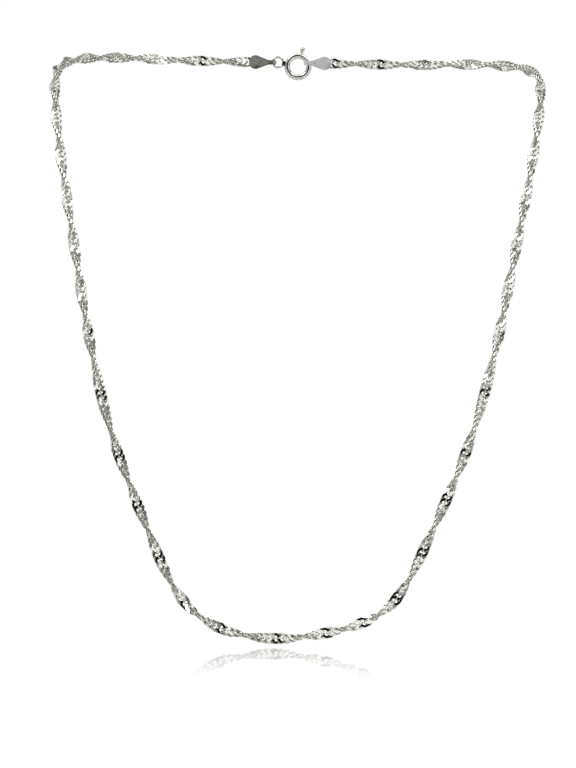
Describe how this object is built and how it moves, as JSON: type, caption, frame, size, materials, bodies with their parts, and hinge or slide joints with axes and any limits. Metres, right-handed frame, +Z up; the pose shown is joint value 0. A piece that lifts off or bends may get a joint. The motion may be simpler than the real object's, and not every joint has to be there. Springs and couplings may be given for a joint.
{
  "type": "twisted chain necklace",
  "caption": "Silver chain of flat filed curb links twisted into a spiral, worn as a loop round the neck and shut by a spring ring between two folded end tags.",
  "frame": {"origin": "middle of the neck hollow, level with the height at which the chain passes over the sides of the neck", "axes": "+Z up along the neck, -Y the way the wearer faces, +X to the right seen from the front"},
  "size_m": [0.1079, 0.0918, 0.1298],
  "materials": {
    "chain_silver": "polished sterling silver, diamond-cut facets",
    "tag_dark": "satin silver in shade, bare where a mark was stamped",
    "tag_light": "satin silver, bare where a mark was stamped",
    "clasp_silver": "high polish sterling silver",
    "trigger_silver": "polished silver, slightly warm"
  },
  "bodies": {
    "necklace": {"chain_left": "chain_silver", "chain_right": "chain_silver", "end_tag_left": "tag_dark", "end_tag_right": "tag_light", "clasp_body": "clasp_silver"},
    "trigger": {"clasp_trigger": "trigger_silver"}
  },
  "joints": [
    {"name": "trigger_turn", "type": "hinge", "parent": "necklace", "child": "trigger", "pos_m": [0, 0.0394, 0.00615], "axis": [0, -1, 0], "range_deg": [0, 50], "stiffness_Nm_per_rad": 0.004}
  ]
}
